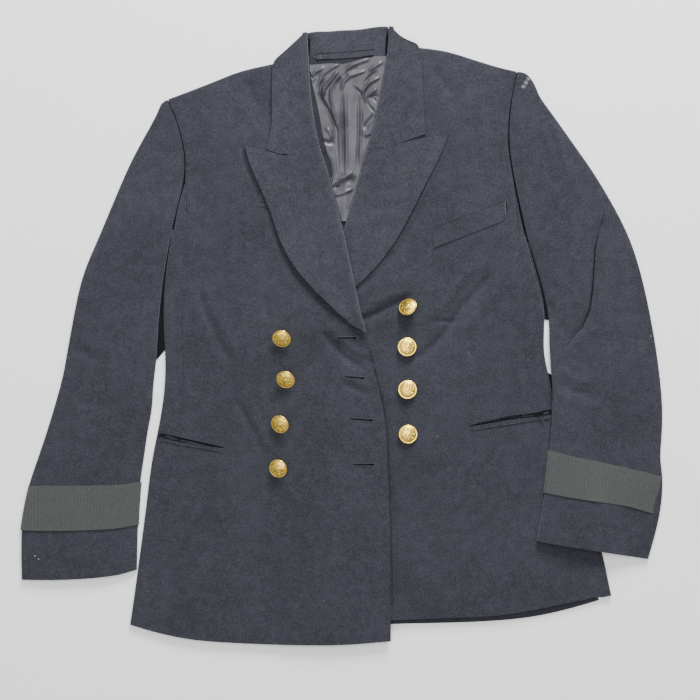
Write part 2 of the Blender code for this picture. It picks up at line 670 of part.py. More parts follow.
def button(name, x, y, lean_x, lean_y, sink, height, stuff, sides=14):
    """A domed gilt button on its shank, turned from a profile and leaning on the cloth."""
    full = math.hypot(lean_x, lean_y)
    lean = math.radians(min(STEEPEST_BUTTON, full))
    stem = 2.6
    shank = 3 * LAYER_GAP + BUTTON_RADIUS * math.sin(lean)
    profile = [(0.0, -shank), (stem, -shank), (stem, 0.0), (9.8, 0.0), (BUTTON_RADIUS, 1.3),
               (10.3, 2.4), (9.3, 2.2), (5.5, 4.3), (0.0, 5.0)]
    shape = bmesh.new()
    line = [shape.verts.new(Vector((r, 0.0, z)) * MM) for r, z in profile]
    for a, b in zip(line, line[1:]):
        shape.edges.new((a, b))
    bmesh.ops.spin(shape, geom=shape.verts[:] + shape.edges[:], axis=(0, 0, 1), cent=(0, 0, 0),
                   steps=sides, angle=2 * math.pi, use_merge=True)
    bmesh.ops.remove_doubles(shape, verts=shape.verts[:], dist=1e-6)
    bmesh.ops.recalc_face_normals(shape, faces=shape.faces[:])
    mesh = bpy.data.meshes.new(name)
    shape.to_mesh(mesh)
    shape.free()
    mesh.materials.append(stuff)
    mesh.shade_smooth()
    piece = bpy.data.objects.new(name, mesh)
    bpy.context.scene.collection.objects.link(piece)
    top = max(height(x + dx, y + dy) for dx in (-2, 0, 2) for dy in (-2, 0, 2))
    base = top + LAYER_GAP + stem * math.sin(lean) + sink
    piece.location = (Vector((x, y, base + shank * math.cos(lean))) + CENTRE) * MM
    tip = Vector((lean_x, lean_y, 0.0)) * math.sin(lean) / full + Vector((0.0, 0.0, math.cos(lean)))
    piece.rotation_mode = "QUATERNION"
    piece.rotation_quaternion = Vector((0.0, 0.0, 1.0)).rotation_difference(tip)
    return piece


def build():
    clear_scene()
    wool = fabric("navy wool", (0.012, 0.014, 0.020), 0.85)
    satin = fabric("black satin", (0.020, 0.020, 0.026), 0.45)
    mohair = fabric("black braid", (0.022, 0.025, 0.026), 0.7)
    gilt = fabric("gilt", (0.72, 0.50, 0.20), 0.3, 1.0)

    def roll_shift(end, side):
        return lambda y: side * (LAPEL_UNDER + SEAM) * smooth(end - 2, end + 6, y)

    # Back and lining
    back_half("back_right", BACK_TOP_RIGHT, BACK_HEM_RIGHT, RIGHT_SIDE, -1, wool)
    back_half("back_left", BACK_TOP_LEFT, BACK_HEM_LEFT, LEFT_SIDE, 1, wool)
    lining("back_lining", satin)
    collar_back("collar_back", wool)

    # Fronts and side bodies
    fronts = (
        ("right", SHOULDER_RIGHT, HEM_RIGHT, RIGHT_EDGE, RIGHT_SIDE, RIGHT_SEAM, -1, BREAK_RIGHT,
         UNDERARM_RIGHT, right_height),
        ("left", SHOULDER_LEFT, HEM_LEFT, LEFT_EDGE, LEFT_SIDE, LEFT_SEAM, 1, BREAK_LEFT,
         UNDERARM_LEFT, left_height),
    )
    for hand, shoulder, hem, edge, side, seam, sign, end, underarm, height in fronts:
        tip, seam_low, side_low = shoulder[-1][1], hem[-1][1], SIDE_HEM[hand]
        outer = joined(down(side, tip, SIDE_SEAM_TOP), down(seam, SIDE_SEAM_TOP, seam_low),
                       (tip - SIDE_SEAM_TOP) / (tip - seam_low))
        inner = down(edge, shoulder[0][1], hem[0][1], roll_shift(end, sign))
        front("front_" + hand, through(shoulder), through(hem), inner, outer, height, wool)
        strip_hem = through([hem[-1], (along(LEVELS, side_low, side), side_low)])
        side_body("side_" + hand, sign, down(seam, SIDE_SEAM_TOP, seam_low), down(side, underarm, side_low),
                  down(side, SIDE_SEAM_TOP, underarm), strip_hem, height, wool)

    # Lapels and collar leaves
    def right_lift(u, v):
        return 2.4 * smooth(0.7, 0.0, u) * smooth(0.25, 0.6, v) * smooth(1.0, 0.85, v) + 0.7

    def left_lift(u, v):
        return 1.2 * smooth(0.6, 0.0, u) * smooth(0.1, 0.3, v) * smooth(0.75, 0.5, v) + 0.3

    def leaf_lift(u, v):
        return 0.8 * smooth(0.5, 0.0, u) + 0.5

    rolled_leaf("lapel_right", through(PEAK_RIGHT[::-1], soft=False, by_row=True),
                through([LAPEL_EDGE_RIGHT[-1], (24.8, 12.5)]), through(LAPEL_EDGE_RIGHT),
                down(RIGHT_EDGE, 219.7, 12.5), 1, right_height, right_lift, wool)
    rolled_leaf("lapel_left", through(PEAK_LEFT[::-1], soft=False),
                through([LAPEL_EDGE_LEFT[-1], (-24.1, 27.0)]), through(LAPEL_EDGE_LEFT),
                down(LEFT_EDGE, 213.9, 27.0), -1, left_height, left_lift, wool)
    rolled_leaf("collar_right", through(LEAF_FOLD_RIGHT[::-1]),
                through(GORGE_RIGHT[::-1], soft=False, by_row=True), through(LEAF_EDGE_RIGHT),
                down(RIGHT_EDGE, 348.3, 219.7), 1, right_height, leaf_lift, wool,
                columns=5, levels=8)
    rolled_leaf("collar_left", through(LEAF_FOLD_LEFT[::-1]), through(GORGE_LEFT[::-1], soft=False),
                through(LEAF_EDGE_LEFT), down(LEFT_EDGE, 355.0, 213.9), -1, left_height, leaf_lift, wool,
                columns=5, levels=8)

    # Sleeves and braid
    sleeves = (
        ("right", SLEEVE_RIGHT, CUFF_RIGHT, down(RIGHT_SIDE, UNDERARM_RIGHT, 271.6),
         FOLDS_SLEEVE_RIGHT, flat_ground),
        ("left", SLEEVE_LEFT, CUFF_LEFT, down(LEFT_SIDE, UNDERARM_LEFT, 303.6),
         FOLDS_SLEEVE_LEFT, ground),
    )
    for hand, sections, cuff, armhole, folds, under in sleeves:
        place = sleeve_edges(sections, cuff, armhole)
        top_sleeve("sleeve_top_" + hand, place, folds, under, wool)
        under_sleeve("sleeve_under_" + hand, place, under, wool)
        braid("braid_" + hand, place, folds, under, mohair, *BRAID_SPAN)

    # Pockets and hanger
    laid("breast_welt", [(103.5, 123), (189.2, 154), (106.4, 100.3), (189.2, 132.3)],
         left_height, 1.0, wool)
    for hand, near, far, height in (("right", (-135.7, -129.5), (-206.8, -114.5), right_height),
                                    ("left", (147.8, -104.7), (246, -86.6), left_height)):
        for which, gape, side in (("upper", (0.8, 1.6), 1), ("lower", (0.8, 3.0), -1)):
            corners = jet_corners(near, far, JET_WIDTH, gape, side)
            laid(f"pocket_{which}_{hand}", corners, height, 1.0, wool, levels=1)
    laid("hanger_loop", [(-29.3, 322.5), (37.4, 327.5), (-29.3, 317), (37.4, 322)],
         lambda x, y: 2 * COLLAR_FOLD, 1.2, satin, levels=1)

    # Buttons
    for hand, places, height in (("right", BUTTONS_RIGHT, right_height),
                                 ("left", BUTTONS_LEFT, left_height)):
        for number, (x, y, lean_x, lean_y, sink) in enumerate(places, 1):
            button(f"button_{hand}_{number}", x, y, lean_x, lean_y, sink, height, gilt)


build()
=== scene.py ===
"""The looks of a double-breasted uniform dress jacket that lies flat on its back."""
import math
import random

import bmesh
import bpy
import numpy as np
from mathutils import Matrix, Vector
from mathutils.bvhtree import BVHTree


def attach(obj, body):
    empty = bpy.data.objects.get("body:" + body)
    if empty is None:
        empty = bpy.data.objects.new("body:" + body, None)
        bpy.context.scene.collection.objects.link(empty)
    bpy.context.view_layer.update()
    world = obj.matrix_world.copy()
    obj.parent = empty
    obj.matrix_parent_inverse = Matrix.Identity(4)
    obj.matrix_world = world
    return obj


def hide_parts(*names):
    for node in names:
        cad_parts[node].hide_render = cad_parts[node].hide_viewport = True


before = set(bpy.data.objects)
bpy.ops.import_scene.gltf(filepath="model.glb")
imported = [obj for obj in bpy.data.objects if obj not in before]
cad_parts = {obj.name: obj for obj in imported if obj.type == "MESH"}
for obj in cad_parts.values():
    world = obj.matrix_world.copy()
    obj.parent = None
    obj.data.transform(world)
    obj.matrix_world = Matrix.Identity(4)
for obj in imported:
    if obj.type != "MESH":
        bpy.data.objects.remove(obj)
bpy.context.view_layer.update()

# Floor, camera and light
# The jacket lies on a plain pale floor and is seen from straight above. One soft lamp beyond the
# collar rakes over the folds, and a wide one overhead and a white room fill the shade.
# The picture's side in pixels, the millimetres of cloth to a pixel, the jacket's middle in the
# picture, and the last shift in millimetres that brings that middle to the origin
PICTURE = 700
PIXEL = 1.15
MIDDLE = (341.5, 335.0)
SHIFT = (-0.65, 0.4)


def spot(across, down):
    """Millimetres on the jacket from a place in the picture."""
    return Vector(((across - MIDDLE[0]) * PIXEL + SHIFT[0], (MIDDLE[1] - down) * PIXEL + SHIFT[1]))


shape = bmesh.new()
bmesh.ops.create_grid(shape, x_segments=1, y_segments=1, size=4.0)
mesh = bpy.data.meshes.new("floor")
shape.to_mesh(mesh)
shape.free()
floor = bpy.data.objects.new("floor", mesh)
bpy.context.scene.collection.objects.link(floor)
paper = bpy.data.materials.new("white paper")
paper.use_nodes = True
paper.node_tree.nodes["Principled BSDF"].inputs["Base Color"].default_value = (0.93, 0.93, 0.94, 1)
paper.node_tree.nodes["Principled BSDF"].inputs["Roughness"].default_value = 0.9
mesh.materials.append(paper)

lens = bpy.data.cameras.new("camera")
lens.sensor_width = 36.0
# The camera's height, and the height of the cloth that the picture's scale holds for
HEIGHT, CLOTH_TOP = 2.5, 0.006
lens.lens = lens.sensor_width * (HEIGHT - CLOTH_TOP) / (PICTURE * PIXEL / 1000)
camera = bpy.data.objects.new("camera", lens)
middle = spot(PICTURE / 2, PICTURE / 2)
camera.location = (middle.x / 1000, middle.y / 1000, HEIGHT)
bpy.context.scene.collection.objects.link(camera)
bpy.context.scene.camera = camera

for name, place, size, power in (("window", (0.5, 2.15, 1.1), 0.9, 120.0),
                                 ("tent", (-0.3, 0.2, 3.0), 2.2, 76.0)):
    light = bpy.data.lights.new(name, "AREA")
    light.size = size
    light.energy = power
    lamp = bpy.data.objects.new(name, light)
    lamp.location = place
    lamp.rotation_euler = (-Vector(place)).to_track_quat("-Z", "Y").to_euler()
    bpy.context.scene.collection.objects.link(lamp)
world = bpy.data.worlds.new("studio")
world.use_nodes = True
world.node_tree.nodes["Background"].inputs["Color"].default_value = (1.0, 1.0, 1.0, 1)
world.node_tree.nodes["Background"].inputs["Strength"].default_value = 0.5
bpy.context.scene.world = world


# Wool cloth
# The jacket is cut from dark navy barathea, a close matt wool with a fine pebbled weave.
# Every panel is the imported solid's own wall, made finer, with its smaller creases pressed in.
class Socket:
    """A node's output in a material; sums on it add Math nodes."""

    def __init__(self, tree, link=None):
        self.tree, self.link = tree, link

    def node(self, kind, settings, inputs, output=0):
        made = self.tree.nodes.new(kind)
        for key, value in settings.items():
            if key == "stops":
                for index, (place, shade) in enumerate(value):
                    stops = made.color_ramp.elements
                    stop = stops[index] if index < len(stops) else stops.new(place)
                    stop.position, stop.color = place, shade
            else:
                setattr(made, key, value)
        for key, value in inputs.items():
            if isinstance(value, Socket):
                self.tree.links.new(value.link, made.inputs[key])
            else:
                made.inputs[key].default_value = value
        return Socket(self.tree, made.outputs[output])

    def maths(self, operation, *values):
        return self.node("ShaderNodeMath", {"operation": operation}, dict(enumerate(values)))

    def __add__(self, other):
        return self.maths("ADD", self, other)

    __radd__ = __add__

    def __sub__(self, other):
        return self.maths("SUBTRACT", self, other)

    def __rsub__(self, other):
        return self.maths("SUBTRACT", other, self)

    def __mul__(self, other):
        return self.maths("MULTIPLY", self, other)

    __rmul__ = __mul__

    def __truediv__(self, other):
        return self.maths("DIVIDE", self, other)

    def above(self, level):
        return self.maths("GREATER_THAN", self, level)

    def rise(self, low, high):
        """0 below low, 1 above high, soft between."""
        return self.node("ShaderNodeMapRange", {"interpolation_type": "SMOOTHSTEP"},
                         {"Value": self, "From Min": low, "From Max": high})


def mixed(first, second, factor):
    """A colour between two others; one of them or the factor is a socket."""
    start = next(value for value in (factor, first, second) if isinstance(value, Socket))
    colours = {6: first, 7: second}
    colours = {key: value if isinstance(value, Socket) else (*value, 1.0) for key, value in colours.items()}
    return start.node("ShaderNodeMix", {"data_type": "RGBA"}, {0: factor, **colours}, 2)


def finish(name, roughness, metallic=0.0, **constants):
    """A new material with its shader's even values set, and its Object coordinates."""
    stuff = bpy.data.materials.new(name)
    stuff.use_nodes = True
    shader = stuff.node_tree.nodes["Principled BSDF"]
    shader.inputs["Roughness"].default_value = roughness
    shader.inputs["Metallic"].default_value = metallic
    for key, value in constants.items():
        shader.inputs[key.replace("_", " ")].default_value = value
    at = Socket(stuff.node_tree).node("ShaderNodeTexCoord", {}, {}, "Object")
    return stuff, shader, at


def wool(name, dark, pale, scuffs=()):
    stuff, shader, at = finish(name, 0.9, Sheen_Weight=0.35, Sheen_Roughness=0.45,
                               Sheen_Tint=(0.75, 0.85, 1.0, 1.0), Specular_IOR_Level=0.25)
    grain = at.node("ShaderNodeTexNoise", {}, {"Vector": at, "Scale": 520.0, "Detail": 3.0,
                                               "Roughness": 0.65})
    cloudy = at.node("ShaderNodeTexNoise", {}, {"Vector": at, "Scale": 11.0, "Detail": 4.0})
    ribs = at.node("ShaderNodeTexWave", {"bands_direction": "DIAGONAL"},
                   {"Vector": at, "Scale": 150.0, "Distortion": 1.5, "Detail": 1.0})
    blotches = at.node("ShaderNodeTexNoise", {}, {"Vector": at, "Scale": 95.0, "Detail": 2.0})
    tone = grain.rise(0.32, 0.70) * 0.60 + blotches.rise(0.35, 0.65) * 0.18 + cloudy.rise(0.3, 0.7) * 0.18
    tone = tone + ribs * 0.04
    colour = mixed(dark, pale, tone)
    cells = at.node("ShaderNodeTexVoronoi", {"feature": "F1"}, {"Vector": at, "Scale": 46.0})
    lint = (1.0 - cells.rise(0.018, 0.030)) * cloudy.above(0.56)
    colour = mixed(colour, (0.20, 0.20, 0.20), lint * 0.6)
    level = at.node("ShaderNodeVectorMath", {"operation": "MULTIPLY"}, {0: at, 1: (1.0, 1.0, 0.0)})
    for place, reach, strength in scuffs:
        there = (*(spot(*place) / 1000), 0.0)
        far = at.node("ShaderNodeVectorMath", {"operation": "DISTANCE"}, {0: level, 1: there}, "Value")
        mark = (1.0 - far.rise(reach * 0.3, reach)) * (grain.rise(0.30, 0.6) * 0.6 + 0.4) * strength
        colour = mixed(colour, (0.26, 0.27, 0.29), mark)
    bump = at.node("ShaderNodeBump", {}, {"Height": grain + ribs * 0.15, "Strength": 0.45,
                                          "Distance": 0.0007})
    stuff.node_tree.links.new(colour.link, shader.inputs["Base Color"])
    stuff.node_tree.links.new(bump.link, shader.inputs["Normal"])
    return stuff


# Soft swells in each cloth, and the millimetres over which a wall comes free of what is below
SWELLS = 9
FREE = 1.6


def press(mesh, creases, ripple, low, pulled):
    """Raises or sinks the upper side of a cloth along its creases: path, half width, height.
    Nothing at or under the low height moves, and pulled corners move within a reach of a place."""
    flat = np.empty(3 * len(mesh.vertices))
    mesh.vertices.foreach_get("co", flat)
    at = flat.reshape(-1, 3) * 1000
    rise = np.zeros(len(at))
    chance = random.Random(7)
    for _ in range(SWELLS):
        length, turn, shift = chance.uniform(22, 75), chance.uniform(0, math.pi), chance.uniform(0, 6)
        way = at[:, 0] * math.cos(turn) + at[:, 1] * math.sin(turn)
        rise += ripple / 3 * np.sin(way * 2 * math.pi / length + shift)
    for path, width, height in creases:
        places = [np.array(spot(*p)) for p in path]
        lengths = [np.linalg.norm(b - a) for a, b in zip(places, places[1:])]
        best, share, run = np.full(len(at), 1e9), np.zeros(len(at)), 0.0
        for a, b, length in zip(places, places[1:], lengths):
            part = np.clip((at[:, :2] - a) @ (b - a) / length ** 2, 0, 1)
            away = np.linalg.norm(at[:, :2] - a - part[:, None] * (b - a), axis=1)
            near = away < best
            best = np.where(near, away, best)
            share = np.where(near, (run + part * length) / sum(lengths), share)
            run += length
        taper = 0.9 / len(path)
        ends = np.clip(share / taper, 0, 1) * np.clip((1 - share) / taper, 0, 1)
        rise += height * np.exp(-(best / width) ** 2) * ends ** 2 * (3 - 2 * ends)
    pressed = at[:, 2] + rise * np.clip((at[:, 2] - low) / FREE, 0, 1)
    at[:, 2] = np.maximum(pressed, np.minimum(at[:, 2], low))
    for place, reach, move in pulled:
        away = np.linalg.norm(at[:, :2] - np.array(spot(*place)), axis=1)
        at += (np.clip(1 - away / reach, 0, 1) ** 1.5)[:, None] * np.array(move)
    mesh.vertices.foreach_set("co", (at / 1000).ravel())
    mesh.update()


# Edges that turn further than this, in radians, are the wall's cut edges and stay sharp
CUT_EDGE = 1.3


def cloth(node, stuff, creases=(), ripple=0.15, fineness=3,
          low=2.4, pulled=()):
    """A node's wall as finer cloth, which takes the node's place."""
    shape = bmesh.new()
    shape.from_mesh(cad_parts[node].data)
    bmesh.ops.remove_doubles(shape, verts=shape.verts[:], dist=1e-6)
    bmesh.ops.join_triangles(shape, faces=shape.faces[:], angle_face_threshold=math.pi,
                             angle_shape_threshold=math.pi, topology_influence=1.0)
    firm = shape.edges.layers.float.new("crease_edge")
    for edge in shape.edges:
        if edge.calc_face_angle(0.0) > CUT_EDGE:
            edge[firm] = 1.0
            edge.smooth = False
    mesh = bpy.data.meshes.new(node + "_cloth")
    shape.to_mesh(mesh)
    shape.free()
    for layer in [layer for layer in mesh.attributes if "normal" in layer.name]:
        mesh.attributes.remove(layer)
    piece = bpy.data.objects.new(node + "_cloth", mesh)
    bpy.context.scene.collection.objects.link(piece)
    finer = piece.modifiers.new("Finer", "SUBSURF")
    finer.levels = finer.render_levels = fineness
    done = bpy.data.meshes.new_from_object(piece.evaluated_get(bpy.context.evaluated_depsgraph_get()))
    piece.modifiers.clear()
    piece.data = done
    press(done, creases, ripple, low, pulled)
    done.materials.clear()
    done.materials.append(stuff)
    done.polygons.foreach_set("use_smooth", [True] * len(done.polygons))
    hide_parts(node)
    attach(piece, "root")
    return piece


NAVY, NAVY_PALE = (0.0105, 0.011, 0.016), (0.037, 0.038, 0.050)
body_wool = wool("navy wool, body", NAVY, NAVY_PALE)
sleeve_wool = wool("navy wool, sleeves", NAVY, NAVY_PALE,
                   (((523.5, 86.5), 0.0032, 0.5), ((526, 82.5), 0.0034, 0.55), ((528.5, 78.5), 0.0030, 0.5),
                    ((35, 556), 0.0013, 0.9), ((38.5, 559), 0.0012, 0.9), ((651, 336), 0.0010, 0.8)))
# The lapels and collar use the same wool painted a little lighter: painted light on their raised faces.
lapel_wool_painted_lighter = wool("navy wool, lapels, painted lighter", (0.0125, 0.013, 0.0185), (0.042, 0.043, 0.056))

# Back
# The back is cut in two halves of the same wool and joined by a seam down its middle.
# Both halves lie on the floor, and the rest of the jacket lies on them.
cloth("back_right", body_wool, ripple=0, fineness=2)
cloth("back_left", body_wool, ripple=0, fineness=2)

# Side bodies
# A narrow panel of wool wraps each side, from the front's seam round the fold to the back.
# Creases: the places that a crease runs through, its half width and its height, in millimetres.
cloth("side_right", body_wool, [
    ([(174, 262), (176, 345), (178, 435)], 2.5, -0.7)])
cloth("side_left", body_wool, [
    ([(507, 118), (509.5, 150), (514, 178), (519.5, 206), (525, 232), (532, 258), (540, 288), (547, 318)],
     2.6, -2.2), ([(544, 376), (545.5, 404), (546, 440)], 2.2, -1.6)])

# Fronts
# Two wool fronts with canvas inside; the right one laps over the left one.
# Their creases run to the break of the roll line, and soft ones fall to the hem.
RIGHT_CREASES = [
    ([(238, 136), (247, 168), (261, 199), (275, 228), (286, 256), (297, 276), (314, 292.5), (330, 308),
      (347, 322.5), (370, 336)], 2.2, -2.3),
    ([(196, 278), (204, 311), (216, 336), (234, 372)], 3.2, -1.9),
    ([(203, 275), (212, 306), (225, 332), (244, 366)], 5.0, 1.3),
    ([(230, 392), (243, 413), (257, 442), (268, 462)], 3.6, -1.7),
    ([(238, 390), (251, 411), (265, 440), (276, 460)], 5.0, 1.0),
    ([(318, 326), (329, 341), (345, 358), (368, 371)], 3.6, -2.2),
    ([(328, 322), (339, 338), (355, 350), (373, 358)], 4.5, 1.5),
    ([(336, 380), (355, 389), (376, 398)], 3.4, -1.7),
    ([(340, 374), (357, 381), (376, 389)], 4.0, 1.0),
    ([(264, 291), (266, 310), (272, 326)], 4.5, -1.8),
    ([(366, 330), (371, 365), (380, 401)], 3.5, 1.3),
    ([(172, 262), (175, 340), (178, 432)], 2.5, -1.2),
    ([(181, 262), (183, 340), (186, 432)], 3.0, 0.9),
    ([(190, 270), (192, 340), (196, 430)], 4.0, -0.9),
    ([(305, 285), (330, 308), (355, 330)], 4.0, -1.1),
    ([(244, 72), (255, 100), (268, 132)], 7.0, -1.8),
    ([(282, 480), (292, 540), (296, 610)], 9.0, -1.4),
    ([(316, 470), (322, 540), (318, 615)], 9.0, 1.2),
    ([(196, 470), (190, 540), (180, 610)], 8.0, 1.2),
    ([(214, 480), (210, 540), (204, 620)], 8.0, -1.2),
    ([(240, 180), (236, 230), (232, 280)], 9.0, 1.2),
]
cloth("front_right", body_wool, RIGHT_CREASES)
LEFT_CREASES = [
    ([(452, 138), (447, 156), (440, 173), (424, 206), (405, 241), (387, 264), (371, 279), (350, 295)],
     2.6, -2.4),
    ([(350, 324), (368, 317), (388, 308), (416, 292)], 3.6, -3.8),
    ([(360, 332), (380, 324), (404, 314)], 5.0, 1.2),
    ([(366, 306), (386, 298), (406, 287)], 4.0, 1.8),
    ([(495, 270), (480, 288), (460, 311), (443, 336), (424, 354), (404, 364)], 4.2, -2.9),
    ([(482, 256), (464, 280), (440, 308), (420, 326)], 7.0, 2.4),
    ([(506, 280), (490, 298), (470, 322), (450, 346)], 7.0, 1.6),
    ([(432, 323), (446, 321), (458, 324)], 2.8, -1.4),
    ([(430, 64), (441, 79), (452, 96)], 4.5, -1.7),
    ([(541, 404), (538, 440), (534, 470), (528, 505), (531, 542)], 6.0, -2.8),
    ([(369.5, 342), (371, 357), (376, 377), (381.5, 398), (385.5, 414), (387.5, 441), (389.5, 480),
      (391, 512), (392.5, 553), (392, 600), (392.5, 620)], 2.8, -2.4),
    ([(512, 440), (512, 490), (508, 550)], 8.0, 1.4),
    ([(420, 470), (424, 530), (420, 600)], 9.0, -1.3),
    ([(450, 460), (456, 530), (458, 600)], 9.0, 1.3),
    ([(486, 470), (492, 540), (500, 596)], 8.0, -1.2),
    ([(478, 140), (470, 175), (460, 205)], 8.0, -1.2),
    ([(507, 118), (509.5, 150), (514, 178), (519.5, 206), (525, 232), (532, 258), (540, 288), (547, 318)],
     2.6, -2.2),
]
cloth("front_left", body_wool, LEFT_CREASES)

# Back lining
# The neck shows the dark satin lining of the back, sewn in with a pleat down its middle.
# It is thin and loose, so it wrinkles from the hanger loop down to the roll.
def satin(name, dark, pale):
    stuff, shader, at = finish(name, 0.42, Specular_IOR_Level=0.45)
    bands = at.node("ShaderNodeTexNoise", {}, {"Vector": at, "Scale": 60.0, "Detail": 3.0})
    weave = at.node("ShaderNodeTexNoise", {}, {"Vector": at, "Scale": 900.0, "Detail": 2.0})
    colour = mixed(dark, pale, bands.rise(0.3, 0.7))
    bump = at.node("ShaderNodeBump", {}, {"Height": weave * 0.3 + bands, "Strength": 0.35,
                                          "Distance": 0.0012})
    stuff.node_tree.links.new(colour.link, shader.inputs["Base Color"])
    stuff.node_tree.links.new(bump.link, shader.inputs["Normal"])
    return stuff


lining_satin = satin("black satin", (0.030, 0.029, 0.037), (0.060, 0.058, 0.072))
WRINKLES = [
    # ridges that run from the loop down to the roll
    ([(327, 66), (316, 72), (311, 84)], 2.2, 2.2),
    ([(342, 63), (331, 68), (322, 75), (317, 90)], 1.8, 1.8),
    ([(340, 69), (331, 80), (324, 89), (322, 100)], 1.8, 2.4),
    ([(344, 71), (337, 79), (331, 90), (330, 104)], 1.5, 2.0),
    ([(372, 58), (352, 65), (343, 71)], 2.0, 2.2),
    ([(368, 70), (350, 76), (343, 83), (341, 93)], 1.8, 2.2),
    ([(384, 61), (374, 67), (367, 73)], 2.0, 1.8),
    ([(382, 76), (369, 83), (362, 92), (366, 104)], 1.8, 2.2),
    ([(378, 88), (371, 93), (366, 98)], 1.6, 1.6),
    ([(356, 90), (365, 99), (377, 113)], 1.5, 1.4),
    # hollows between them
    ([(322, 69), (313, 78), (309, 74)], 1.6, -1.8),
    ([(342, 76), (335, 84), (331, 92)], 1.3, -2.0),
    ([(328, 76), (321, 84), (320, 94), (328, 110), (338, 133)], 1.6, -1.9),
    ([(360, 66), (347, 72), (343, 78)], 1.3, -1.4),
    ([(352, 84), (360, 93), (368, 103), (377, 115)], 1.9, -2.4),
    ([(380, 70), (370, 76), (364, 84)], 1.4, -1.6),
    ([(380, 94), (372, 97), (378, 103)], 1.4, -1.4),
    # the pleat down the middle
    ([(342.5, 88), (343, 120), (344, 178)], 1.1, -2.0),
    ([(345.5, 88), (346, 120), (347, 176)], 1.5, 1.5),
    ([(339.5, 92), (339, 120), (341, 178)], 1.6, 1.2),
    ([(358, 92), (359, 130), (357, 172)], 1.6, 1.3),
    ([(361, 100), (361, 130), (359, 160)], 1.8, -1.2),
    ([(331, 92), (333, 110), (338, 128)], 1.5, 1.3),
    # dark pockets at both sides and the deep fold above the tip
    ([(378, 112), (370, 121), (362, 131)], 3.6, -2.6),
    ([(376, 128), (370, 133), (363, 137)], 1.8, 1.6),
    ([(320, 140), (329, 143), (336, 141)], 2.6, -2.2),
    ([(325, 127), (330, 132), (333, 140)], 2.4, 1.5),
    ([(327, 150), (329, 168), (331, 186)], 2.4, -2.2),
    ([(333, 148), (335, 165), (337, 180)], 2.2, 1.0),
    ([(329, 190), (342, 184), (358, 176)], 3.0, -2.8),
    ([(334, 180), (345, 177), (356, 170)], 2.0, 1.4),
    ([(331, 196), (343, 193), (355, 188)], 2.0, 1.8),
]
cloth("back_lining", lining_satin,
      WRINKLES, ripple=0.2, fineness=4, low=1.9)

# Collar
# The collar is wool over stiff felt: it stands round the neck and falls outwards.
# Each leaf lies on its front and is sewn to the lapel along the gorge seam.
cloth("collar_back", lapel_wool_painted_lighter, [
    ([(308, 28), (309, 44), (310, 68)], 4.5, -3.0), ([(390, 22), (388, 40), (386, 66)], 5.5, -3.4),
    ([(318, 30), (320, 44), (322, 56)], 4.0, 1.0)])
cloth("collar_right", lapel_wool_painted_lighter)
cloth("collar_left", lapel_wool_painted_lighter)

# Lapels
# The lapels are the facings turned outwards along the roll line, each with a peak at the gorge.
# The right one's lower tip is drawn out to where the fronts cross.
cloth("lapel_right", lapel_wool_painted_lighter,
      pulled=[((362.5, 324), 21.0, (4.0, -9.5, 0.0))])
cloth("lapel_left", lapel_wool_painted_lighter)

# Sleeves
# Each sleeve is a top and an under panel of wool, sewn along both edges and into the armhole.
# The wearer's left sleeve lies over the body's side and is folded at the elbow.
SLEEVE_CREASES_RIGHT = [
    ([(155, 118), (149, 146), (145, 164), (140, 188)], 2.8, -1.36),
    ([(162, 122), (156, 150), (152, 172), (149, 196)], 4.0, 0.81),
    ([(141, 176), (134, 204), (131, 228), (125, 258), (115, 300)], 4.6, -1.43),
    ([(151, 176), (144, 206), (141, 230), (134, 266)], 4.6, 1.05),
    ([(156, 176), (159, 204), (157, 230), (157, 262)], 3.4, -1.12),
    ([(164, 190), (166, 212), (163, 240)], 3.4, 0.74),
    ([(120, 176), (106, 230), (94, 286)], 7.0, 0.99),
    ([(108, 196), (92, 250), (82, 300)], 6.0, -0.81),
    ([(62, 330), (88, 346), (116, 352)], 5.0, 0.93),
    ([(66, 342), (90, 358), (118, 364)], 4.5, -0.87),
    ([(70, 398), (95, 406), (124, 400)], 5.0, -0.81),
    ([(128, 330), (124, 390), (116, 450)], 6.0, 0.74),
    ([(96, 420), (88, 480), (84, 560)], 6.0, -0.62),
]
cloth("sleeve_top_right", sleeve_wool,
      SLEEVE_CREASES_RIGHT)
SLEEVE_CREASES_LEFT = [
    ([(604.7, 211.8), (598.2, 233.5), (594.9, 248.6), (593.8, 268.2), (592.3, 289.8), (589.5, 309.4),
      (581.9, 326.7), (566.7, 344)], 3.0, -3.4),
    ([(592, 214), (586, 264), (578, 304), (566, 324)], 5.0, 1.27),
    ([(614, 236), (607, 290), (599, 326), (584, 346)], 5.0, 1.35),
    ([(549, 300), (553, 312), (549, 326)], 3.6, -1.5),
    ([(553, 280), (559, 296), (557, 308)], 3.4, -1.35),
    ([(562, 290), (566, 306), (562, 322)], 4.0, 0.9),
    ([(553, 118), (561, 148), (570, 182)], 3.4, 1.42),
    ([(562, 120), (570, 148), (580, 180)], 4.0, -0.98),
    ([(540, 126), (546, 158), (552, 192)], 4.0, -1.27),
    ([(530, 110), (534, 150), (541, 200)], 4.0, 0.83),
    ([(554, 366), (575, 380), (602, 384)], 3.4, 1.05),
    ([(553, 378), (574, 392), (602, 396)], 3.2, -1.35),
    ([(556, 392), (576, 404), (600, 408)], 4.0, 0.75),
    ([(630, 250), (640, 310), (644, 370)], 7.0, -0.98),
    ([(616, 400), (622, 440), (626, 480)], 6.0, -0.83),
    ([(640, 400), (650, 440), (652, 470)], 5.0, 0.9),
]
cloth("sleeve_top_left", sleeve_wool,
      SLEEVE_CREASES_LEFT)
cloth("sleeve_under_right", sleeve_wool, ripple=0, fineness=2)
cloth("sleeve_under_left", sleeve_wool, ripple=0, fineness=2)


